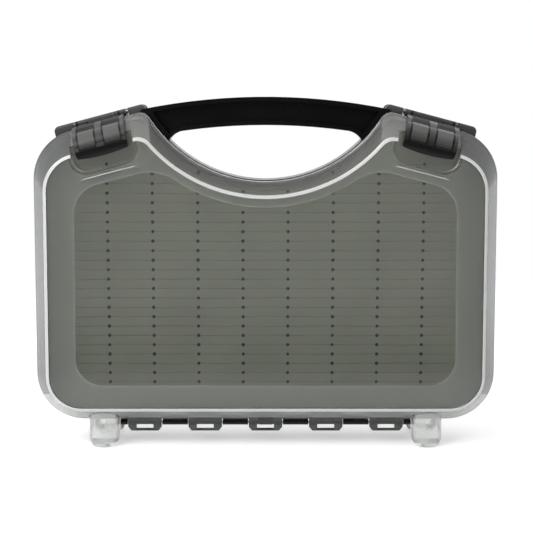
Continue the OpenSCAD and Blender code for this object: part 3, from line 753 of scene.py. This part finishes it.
def foot_plan(h, face, shrink, back):
    """Plan of a foot in X and depth: straight at the back, round at the front."""
    half = h.foot_w * TO_MM / 2 - shrink
    front = face - FOOT_FRONT - shrink
    bow = h.foot_w * TO_MM / 2 + 1
    start = math.degrees(math.acos(half / bow))
    return [(-half, back), (half, back)] + along((0, front - bow), bow, start, 180 - start, 24)


def lower_corners(half, low, r):
    """The two rounded lower corners of an outline, left to right."""
    return along((-half + r, low + r), r, 180, 270, 10) + along((half - r, low + r), r, 270, 360, 10)


def foot(name, h, case, face):
    """A hollow foot, open at the back, with a small round boss in its front wall."""
    half, wall = h.foot_w * TO_MM / 2, h.foot_wall * TO_MM
    top = case.edge_z + FOOT_TOP
    back = h.axis_y * TO_MM - FOOT_BACK
    body = post(name, foot_plan(h, face, 0, back), 0, top)
    front_view = lower_corners(half, 0, h.foot_r * TO_MM) + [(half, top + 5), (-half, top + 5)]
    combine(body, plate("foot_sides", front_view, 0, FAR), "INTERSECT")
    combine(body, post("foot_room", foot_plan(h, face, wall, back - 4), wall, top + 9), "DIFFERENCE")
    middle = face - FOOT_FRONT - wall / 2
    boss = circle((0, case.edge_z * BOSS_UP), BOSS_R, 24)
    combine(body, plate("boss", boss, middle - wall / 2 - BOSS_BACK, middle), "UNION")
    return body


# Radii of the clear window at the peaks, the upper corners and the lower corners
WINDOW_PEAK_R, WINDOW_UPPER_R, WINDOW_LOWER_R = 34, 22, 20
# How far the slanted step round the window runs in
WINDOW_SLANT = 0.9
# Depth to which the lid's middle surface is closed off, behind the rim
CORE_BACK = 9
# Section of a catch over the shoulder line: its upright side, the end of its crest, the foot of its ramp
CATCH_Z = (-16.5, -15.3, -11.9)
# How much shorter a catch is than half a latch
CATCH_SHORT = 3.5
# The raised line under a pocket: from and to below the pocket's lower end, and its rise over the face
LINE_FROM, LINE_TO, LINE_RISE = 5.2, 4.5, 0.3


def window_tool(case, lid, inner_face):
    """What the clear window takes out of the inner face."""
    borders = (lid.window_side, lid.window_low, lid.window_shoulder, lid.window_dip)

    def ring(inset):
        """Outline of the window, moved in by inset."""
        side, low, shoulder, dip = [border * TO_MM + inset for border in borders]
        return case.ring(side, shoulder, WINDOW_PEAK_R, low=low, dip=dip,
                         side_r=WINDOW_UPPER_R, corner_r=WINDOW_LOWER_R)

    step = inner_face + lid.window_step * TO_MM
    return skin("window", [(inner_face - 2, ring(0)), (inner_face, ring(0)), (step, ring(WINDOW_SLANT))])


def build_lid(context):
    """The front lid's mesh: shell, window, pockets, hinge ears, feet, catches and raised lines."""
    case, lid = Outline(context.scene.fly_outline), context.scene.fly_lid
    p, h = context.scene.fly_pocket, context.scene.fly_hinge
    face, wall = lid.face_y * TO_MM, lid.wall * TO_MM
    band = (lid.rim_y + lid.flange) * TO_MM
    inner, outer = lid_layers(case, lid)
    shell = skin("front_lid_shell", inner(1, lid.rim_y * TO_MM) + outer)
    place = shoulder_matrix(case, p.at * TO_MM)
    floor = face - p.depth * TO_MM
    # The room within the middle of the wall: the pockets' tubs stay inside it and the feet outside
    core = list(reversed(inner(0.5, CORE_BACK)))
    combine(shell, window_tool(case, lid, face - wall), "DIFFERENCE")

    tubs = both_sides("tubs", lambda n: plate(n, pocket_outline(p, wall), floor - wall, FAR), place)
    combine(tubs, skin("core", core), "INTERSECT")
    combine(shell, tubs, "UNION")
    for i in (-2, -1, 0, 1, 2):
        group = hinge_group("hinge_group", h, case.edge_z, band)
        combine(shell, transform(group, Matrix.Translation((i * h.pitch, 0, 0))), "UNION")
    for s in (-1, 1):
        one = transform(foot("foot", h, case, face), Matrix.Translation((s * h.foot_x, 0, 0)))
        combine(one, skin("core", core), "DIFFERENCE")
        combine(shell, one, "UNION")
    pockets = both_sides("pockets", lambda n: plate(n, pocket_outline(p, 0), floor, FAR), place)
    combine(shell, pockets, "DIFFERENCE")

    latch_half = p.latch_w * TO_MM / 2
    catch_half = latch_half - CATCH_SHORT
    upright, crest, ramp = CATCH_Z
    sunk, high = floor - wall / 2, floor + p.catch_h * TO_MM
    ridge = [(sunk, upright), (high, upright), (high, crest), (sunk, ramp)]
    catches = both_sides("catches", lambda n: bar(n, ridge, -catch_half, catch_half), place)
    combine(shell, catches, "UNION")
    low = -p.low * TO_MM
    line = [(-latch_half, low - LINE_FROM), (latch_half, low - LINE_FROM),
            (latch_half, low - LINE_TO), (-latch_half, low - LINE_TO)]
    lines = both_sides("lines", lambda n: plate(n, line, face - wall / 2, face + LINE_RISE), place)
    combine(shell, lines, "UNION")
    bore = circle((h.axis_y * TO_MM, h.axis_z * TO_MM), h.bore_r * TO_MM, 24)
    combine(shell, bar("bore", bore, -180, 180), "DIFFERENCE")
    return shell


def in_pocket(p, place, centre, grow):
    """Whether a point, in metres, lies within a pocket's outline grown by grow millimetres."""
    spot = place.inverted() @ Vector((-abs(centre.x), 0, centre.z)) * TO_MM
    return abs(spot.x) < p.width * TO_MM / 2 + grow and -p.low * TO_MM - grow < spot.z < POCKET_TOP


# Share of depth in its normal from which a face of a lid counts as flat
FLAT = 0.99
# Depths closer than this are the same, and heights or depths differ from this on
SAME, APART = 0.02, 0.05
# Height in metres of the point that tells outside from inside
MIDDLE_Z = 0.12
# The face's edge, made a bright milky band as painted highlight: from and to behind the face
EDGE_FROM, EDGE_TO = 1.05, 0.1
# The side walls' painted reflection starts this far from the middle, and the bottom wall's ends this far up
SIDE_FROM, LOW_TO = 140, 20
# Where the raised lines are looked for: behind the face, and round a pocket
LINE_BACK, LINE_ROUND = 1.2, 8
# Depth of a pocket's walls behind the face
POCKET_BACK = 7.5


def lid_surface_or_painted_light(poly, case, lid, p, h, place):
    """Name of the surface of one face of a lid, by where it lies and which way it looks: clear, frosted, foot
    and ear, or a band of painted highlight and painted reflection.
    """
    centre, normal = poly.center, poly.normal
    face, step = lid.face_y * TO_MM, lid.window_step * TO_MM
    inner_face = face - lid.wall * TO_MM
    y, z, side, level = abs(centre.y) * TO_MM, centre.z * TO_MM, abs(centre.x) * TO_MM, abs(normal.y)
    outward = normal.x * centre.x + normal.z * (centre.z - MIDDLE_Z) > 0
    if z < case.edge_z - APART:
        return "foot" if abs(side - h.foot_x * TO_MM) < h.foot_w * TO_MM / 2 + 0.5 else "ear"
    # Painted highlight on the raised lines under the pockets
    if y > face + APART:
        return "line"
    if (y > face - LINE_BACK and level < 0.3 and in_pocket(p, place, centre, LINE_ROUND)
            and not in_pocket(p, place, centre, 0.5)):
        return "line"
    # Painted highlight on the pockets' walls
    if face - POCKET_BACK < y < face - APART and level < 0.5 and in_pocket(p, place, centre, 0.6):
        return "pocket_edge"
    if abs(y - inner_face) < SAME and level > FLAT:
        return "frosted"
    # Painted highlight on the step round the clear window
    if inner_face + SAME < y < inner_face + step - SAME and level < 0.97:
        return "window_line"
    if level > FLAT or not outward:
        return "clear"
    # Painted highlight: the face's rounded edge as a bright milky band
    if y > face - EDGE_FROM:
        return "bevel" if y < face - EDGE_TO else "clear"
    # Painted reflection: grey on the side walls, pale grey on the bottom wall, whitish on the sloped walls
    if side > SIDE_FROM and z > case.edge_z + LOW_TO:
        return "side"
    return "low_slope" if z < case.edge_z + LOW_TO else "slope"


def paint_lid(obj, context, materials):
    """Gives each face of a lid its own surface, or its band of painted highlight and painted reflection."""
    scene = context.scene
    case = Outline(scene.fly_outline)
    place = shoulder_matrix(case, scene.fly_pocket.at * TO_MM)
    names = list(materials)
    obj.data.materials.clear()
    for name in names:
        obj.data.materials.append(materials[name])
    for poly in obj.data.polygons:
        surface_or_painted_light = lid_surface_or_painted_light(poly, case, scene.fly_lid, scene.fly_pocket, scene.fly_hinge, place)
        poly.material_index = names.index(surface_or_painted_light)


class FLYBOX_OT_lids(bpy.types.Operator):
    """Builds the clear lids with pockets, ears and feet"""
    bl_idname = "flybox.lids"
    bl_label = "Lids"

    def execute(self, context):
        c = context.scene.fly_colours
        materials = {
            "clear": clear_plastic("clear_lid", c.clear, rough=0.012, wave=0.05),
            "frosted": milky_plastic_or_painted_light("frosted_lid", c.frost, body=0.13, rough=0.42),
            # Painted reflection on the clear side, bottom and sloped walls
            "side": milky_plastic_or_painted_light("lid_side_painted_reflection", c.side_wall_painted_reflection, body=0.28, rough=0.25),
            "low_slope": milky_plastic_or_painted_light("lid_low_slope_painted_reflection", c.low_wall_painted_reflection, body=0.42, rough=0.25),
            "slope": milky_plastic_or_painted_light("lid_slope_painted_reflection", c.white, body=0.11, rough=0.1),
            # Painted highlight on the face's edge
            "bevel": milky_plastic_or_painted_light("lid_bevel_painted_highlight", c.white, body=0.66, rough=0.3),
            # Painted highlights on the raised lines, the window's step and the pockets' walls
            "line": milky_plastic_or_painted_light("lid_line_painted_highlight", c.white, body=0.45, rough=0.3),
            "window_line": milky_plastic_or_painted_light("lid_window_line_painted_highlight", c.white, body=0.34, rough=0.3),
            "pocket_edge": milky_plastic_or_painted_light("lid_pocket_edge_painted_highlight", c.white, body=0.5, rough=0.2),
            "foot": milky_plastic_or_painted_light("lid_foot", c.white, body=0.13, rough=0.12, grain=0.1),
            "ear": milky_plastic_or_painted_light("lid_ear", c.ear, body=0.25, rough=0.15, grain=0.1)}
        front = build_lid(context)
        back = transform(copy_of(front, "back_lid_shell"), MIRROR_Y)
        for obj, body in ((front, "front_lid"), (back, "back_lid")):
            paint_lid(obj, context, materials)
            smooth(obj)
            bevelled(obj, 0.25, segments=2)
            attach(obj, body)
            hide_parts(body)
        return {"FINISHED"}


# ---------------------------------------------------------------- foam

# Lower and upper edge of the sheet before it is cut to its outline, and its steps in X, in millimetres
BLANK_LOW, BLANK_HIGH, BLANK_STEP = 10, 260, 2.2
# Section across a slit, in millimetres: (height from the slit, rise over the sheet)
SLIT = ((-2.4, 0.0), (-0.95, 0.0), (-0.6, 0.08), (-0.24, 0.17), (-0.05, -0.2), (0.05, -0.2),
        (0.2, 0.0), (0.5, 0.03), (1.0, 0.0), (2.4, 0.0))
# Points of the section nearer than this to the slit move with its opening
LIP = 0.3
# Range of the random phases, and sides of a hole
TURN, HOLE_SIDES = 6.283, 12


def foam_rows(f, rng, xs, top):
    """Rows of points over the sheet's front. The slits open, rise and drift unevenly."""
    pitch, first = f.row_pitch * TO_MM, f.first_row * TO_MM
    rows = [[(x, top, BLANK_LOW) for x in xs]]
    for r in range(f.rows):
        phase = [rng.uniform(0, TURN) for _ in range(4)]
        opening = [1 + 0.35 * math.sin(x * 0.11 + phase[0]) + 0.3 * math.sin(x * 0.37 + phase[1])
                   + 0.25 * rng.uniform(-1, 1) for x in xs]
        drift = [0.12 * math.sin(x * 0.05 + phase[2]) + 0.06 * math.sin(x * 0.21 + phase[3]) for x in xs]
        for dz, dy in SLIT:
            row = []
            for x, by, shift in zip(xs, opening, drift):
                spread = dz * (by if abs(dz) < LIP else 1)
                lift = dy * (by if dy > 0 else 1)
                row.append((x, top + lift, first + r * pitch + spread + shift))
            rows.append(row)
    rows.append([(x, top, BLANK_HIGH) for x in xs])
    return rows


def foam_holes(f, rng, top):
    """All holes as one tool, each of a slightly different radius."""
    pitch, first = f.row_pitch * TO_MM, f.first_row * TO_MM
    depth = f.slit_depth * TO_MM
    points, faces = [], []
    for r in range(f.rows):
        for c in range(f.columns):
            x = (c - (f.columns - 1) / 2) * f.column_pitch * TO_MM
            rim = circle((x, first + r * pitch), f.hole_r * TO_MM * rng.uniform(0.92, 1.08), HOLE_SIDES)
            base = len(points)
            points += [(a, top - depth, b) for a, b in rim] + [(a, top + 2, b) for a, b in rim]
            faces += [tuple(base + i for i in face) for face in prism_faces(HOLE_SIDES)]
    return new_object("holes", points, faces)


def foam_sheet(context):
    """The front foam sheet with its uneven slits and its holes, cut to its outline."""
    case, f = Outline(context.scene.fly_outline), context.scene.fly_foam
    rng = random.Random(f.seed)
    top, bottom = (f.back_y + f.thick) * TO_MM, f.back_y * TO_MM
    steps = int(2 * case.half / BLANK_STEP)
    xs = [-case.half + i * 2 * case.half / steps for i in range(steps + 1)]
    rows = foam_rows(f, rng, xs, top)
    points = [point for row in rows for point in row]
    per, last = len(xs), len(points) - len(xs)
    faces = [(a, a + 1, a + 1 + per, a + per)
             for start in range(0, last, per) for a in range(start, start + per - 1)]
    back = len(points)
    points += [(xs[0], bottom, BLANK_LOW), (xs[-1], bottom, BLANK_LOW),
               (xs[-1], bottom, BLANK_HIGH), (xs[0], bottom, BLANK_HIGH)]
    faces.append((back, back + 1, back + 2, back + 3))
    faces.append(tuple(range(per)) + (back + 1, back))
    faces.append(tuple(range(last, back)) + (back + 2, back + 3))
    faces.append(tuple(range(0, back, per)) + (back + 3, back))
    faces.append(tuple(range(per - 1, back, per)) + (back + 2, back + 1))
    sheet = new_object("front_foam_sheet", points, faces)
    combine(sheet, foam_holes(f, rng, top), "DIFFERENCE")
    inset = f.inset * TO_MM
    outline = case.ring(inset, inset - 1.2, case.peak_r + 3)
    combine(sheet, plate("foam_outline", outline, -1, 40), "INTERSECT")
    return sheet


def paint_foam(obj, f, sheet, hole):
    """Painted shade: near-black inner faces in the holes, standing for the shade deep in them; foam
    elsewhere.
    """
    obj.data.materials.clear()
    obj.data.materials.append(sheet)
    obj.data.materials.append(hole)
    for poly in obj.data.polygons:
        column = poly.center.x / f.column_pitch + (f.columns - 1) / 2
        row = (poly.center.z - f.first_row) / f.row_pitch
        near = math.hypot((column - round(column)) * f.column_pitch, (row - round(row)) * f.row_pitch)
        sunk = f.back_y + f.thick - abs(poly.center.y)
        inside = near < f.hole_r * 1.12 and 0.3 * MM < sunk < f.slit_depth + 0.1 * MM
        poly.material_index = 1 if inside else 0


class FLYBOX_OT_foam(bpy.types.Operator):
    """Builds the two slit foam sheets"""
    bl_idname = "flybox.foam"
    bl_label = "Foam"

    def execute(self, context):
        c = context.scene.fly_colours
        material = foam_material("slit_foam", c.foam_dark, c.foam_light)
        # Painted shade inside the foam's holes
        hole = plastic("foam_hole", c.hole_painted_shade_dark, c.hole_painted_shade_light, rough=0.9, grain_mm=0.4)
        front = foam_sheet(context)
        back = transform(copy_of(front, "back_foam_sheet"), MIRROR_Y)
        for obj, node in ((front, "front_foam"), (back, "back_foam")):
            paint_foam(obj, context.scene.fly_foam, material, hole)
            smooth(obj, angle=50)
            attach(obj, "frame")
            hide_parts(node)
        return {"FINISHED"}


# ---------------------------------------------------------------- frame and latches

class FLYBOX_OT_frame(bpy.types.Operator):
    """Gives the frame, panel, seals and pins their materials, and the frame soft edges"""
    bl_idname = "flybox.frame"
    bl_label = "Frame"

    def execute(self, context):
        c = context.scene.fly_colours
        black = plastic("frame_black", c.frame_dark, c.frame_light, rough=0.26)
        grey = plastic("panel_grey", c.panel_dark, c.panel_light, rough=0.5)
        rubber = plastic("seal_rubber", c.seal_dark, c.seal_light, rough=0.7, grain_mm=0.4)
        steel = Nodes("pin_steel")
        steel.set(Base_Color=(*c.pin, 1), Metallic=1.0)
        steel.link(steel.span(steel.noise(900.0, 2.0), 0.2, 0.36), steel.shader.inputs["Roughness"])
        bevelled(dress("center_frame", black), 0.4)
        dress("divider_panel", grey)
        for n in names_with("gasket"):
            dress(n, rubber)
        for n in names_with("pin"):
            dress(n, steel.material)
        return {"FINISHED"}


class FLYBOX_OT_latches(bpy.types.Operator):
    """Gives latches and brackets their materials and soft edges"""
    bl_idname = "flybox.latches"
    bl_label = "Latches"

    def execute(self, context):
        case = Outline(context.scene.fly_outline)
        c = context.scene.fly_colours
        # The latches' material paints light and shade over them by place
        grey = latch_plastic_painted_light("latch_grey_painted_light", case, context.scene.fly_pocket, c.latch, rough=0.28)
        block = plastic("bracket_grey", c.bracket_dark, c.bracket_light, rough=0.26)
        for n in names_with("latch"):
            if n.endswith("latch"):
                bevelled(dress(n, grey), 0.35)
            elif n.endswith("bracket"):
                bevelled(dress(n, block), 0.3)
        return {"FINISHED"}


# ---------------------------------------------------------------- stage

# Half width of the floor in millimetres, and how far below the feet it lies, in metres
FLOOR_HALF, FLOOR_DROP = 6000, 0.0002
# Metres from the middle over which the floor turns into the white background
FLOOR_FADE = (0.35, 0.8)
# Depths over which floor and surroundings turn dark towards the front, in reflections
FLOOR_DARK, ROOM_DARK = (-0.3, 0.0), (-0.45, 0.1)


def area_light(name, place, target, size, power):
    """A soft rectangular light at place, aimed at target, in metres."""
    data = bpy.data.lights.new(name, "AREA")
    data.shape = "RECTANGLE"
    data.size, data.size_y = size
    data.energy = power
    obj = bpy.data.objects.new(name, data)
    bpy.context.collection.objects.link(obj)
    obj.location = place
    obj.rotation_euler = (Vector(target) - Vector(place)).to_track_quat("-Z", "Y").to_euler()


def seen_rays(m):
    """1 for camera and transmission rays, and the socket that is 1 for glossy rays."""
    path = m.add("ShaderNodeLightPath")
    direct = m.math("MAXIMUM", path.outputs["Is Camera Ray"], path.outputs["Is Transmission Ray"])
    return direct, path.outputs["Is Glossy Ray"]


def floor_material(s):
    """Pale floor that keeps the case's shadow close by and turns into the white background further out."""
    m = Nodes("floor_pale")
    pale = m.ramp(m.noise(3.0, 4.0), 0.3, 0.7, s.floor_dark, s.floor_light)
    m.link(pale, m.shader.inputs["Base Color"])
    m.set(Roughness=0.9)
    direct, glossy = seen_rays(m)
    place = m.place()
    reach = m.add("ShaderNodeVectorMath", operation="LENGTH")
    m.link(place, reach.inputs[0])
    far = m.between(reach.outputs["Value"], *FLOOR_FADE)
    behind = m.between(m.axes(place)[1], *FLOOR_DARK, s.front, 1.0)
    seen = m.math("MAXIMUM", direct, m.math("MULTIPLY", glossy, behind))
    glow = m.add("ShaderNodeEmission")
    m.link(m.math("MULTIPLY", seen, m.between(far, 0.0, 1.0, s.near, s.white)), glow.inputs["Strength"])
    both = m.add("ShaderNodeAddShader")
    m.link(m.shader.outputs["BSDF"], both.inputs[0])
    m.link(glow.outputs["Emission"], both.inputs[1])
    mix = m.add("ShaderNodeMixShader")
    faded = m.math("MULTIPLY", far, direct)
    dull = m.math("MULTIPLY", glossy, m.math("SUBTRACT", 1.0, behind))
    m.link(m.math("MAXIMUM", faded, dull), mix.inputs["Fac"])
    m.link(both.outputs["Shader"], mix.inputs[1])
    m.link(glow.outputs["Emission"], mix.inputs[2])
    m.link(mix.outputs["Shader"], m.tree.nodes["Material Output"].inputs["Surface"])
    return m.material


class WorldNodes(Nodes):
    """The same short hand for a world's node tree."""

    def __init__(self, name):
        self.world = bpy.data.worlds.new(name)
        self.world.use_nodes = True
        self.tree = self.world.node_tree
        self.background = self.tree.nodes["Background"]
        self.background.inputs["Color"].default_value = (1, 1, 1, 1)


def studio_world(s):
    """White background, even ambient light, and in reflections a dark room in front of the case."""
    m = WorldNodes("studio")
    direct, glossy = seen_rays(m)
    depth = m.axes(m.add("ShaderNodeTexCoord").outputs["Generated"])[1]
    room = m.between(depth, *ROOM_DARK, s.front, s.white)
    shown = m.math("ADD", m.math("MULTIPLY", direct, s.white), m.math("MULTIPLY", glossy, room))
    other = m.math("MULTIPLY", m.math("SUBTRACT", 1.0, m.math("MAXIMUM", direct, glossy)), s.ambient)
    m.link(m.math("ADD", m.math("MINIMUM", shown, s.white), other), m.background.inputs["Strength"])
    return m.world


class FLYBOX_OT_stage(bpy.types.Operator):
    """Makes the camera, the pale floor and the soft studio light"""
    bl_idname = "flybox.stage"
    bl_label = "Stage"

    def execute(self, context):
        s, scene = context.scene.fly_stage, context.scene
        cam = bpy.data.cameras.new("camera")
        cam.sensor_width = 36
        cam.lens = s.lens
        cam.shift_x = s.shift
        view = bpy.data.objects.new("camera", cam)
        scene.collection.objects.link(view)
        view.location = (0, -s.distance, s.height)
        view.rotation_euler = (math.radians(90) - s.pitch, 0, 0)
        scene.camera = view

        w = FLOOR_HALF
        floor = new_object("floor", [(-w, w, 0), (w, w, 0), (w, -w, 0), (-w, -w, 0)], [(0, 1, 2, 3)])
        floor.location.z = -FLOOR_DROP
        floor.data.materials.append(floor_material(s))
        scene.world = studio_world(s)

        middle = (0, 0, 0.13)
        area_light("key", (-0.85, -0.65, 0.95), middle, (0.8, 0.7), s.key)
        area_light("side_strip", (-0.55, -0.75, 0.3), middle, (0.15, 0.6), s.strip)
        area_light("fill", (0.9, -0.9, 0.7), middle, (0.8, 0.8), s.fill)
        area_light("back", (0.1, 1.1, 0.9), middle, (1.2, 0.8), s.back)
        scene.view_settings.view_transform = "Standard"
        return {"FINISHED"}


# ---------------------------------------------------------------- add-on

class FLYBOX_PT_sidebar(bpy.types.Panel):
    """The fly box's sizes and steps"""
    bl_idname = "FLYBOX_PT_sidebar"
    bl_label = "Fly Box"
    bl_space_type = "VIEW_3D"
    bl_region_type = "UI"
    bl_category = "Fly Box"

    def draw(self, context):
        for name in GROUPS:
            group = getattr(context.scene, name)
            box = self.layout.box()
            box.label(text=name.replace("fly_", "").title())
            for key in group.__annotations__:
                box.prop(group, key)
        for op in STEPS:
            self.layout.operator(op)


GROUPS = {"fly_outline": FlyOutline, "fly_lid": FlyLid, "fly_pocket": FlyPocket, "fly_hinge": FlyHinge,
          "fly_foam": FlyFoam, "fly_colours": FlyColours, "fly_stage": FlyStage}
STEPS = ("flybox.stage", "flybox.frame", "flybox.foam", "flybox.latches", "flybox.lids")
CLASSES = tuple(GROUPS.values()) + (FLYBOX_OT_stage, FLYBOX_OT_frame, FLYBOX_OT_foam, FLYBOX_OT_latches,
                                    FLYBOX_OT_lids, FLYBOX_PT_sidebar)


def register():
    """Adds the classes, and the sizes and colours to the scene."""
    for cls in CLASSES:
        bpy.utils.register_class(cls)
    for name, group in GROUPS.items():
        setattr(bpy.types.Scene, name, PointerProperty(type=group))


def unregister():
    """Takes them away again."""
    for name in GROUPS:
        delattr(bpy.types.Scene, name)
    for cls in reversed(CLASSES):
        bpy.utils.unregister_class(cls)


def main():
    """Builds everything in order."""
    register()
    bpy.ops.flybox.stage()
    bpy.ops.flybox.frame()
    bpy.ops.flybox.foam()
    bpy.ops.flybox.latches()
    bpy.ops.flybox.lids()


if __name__ == "__main__":
    main()
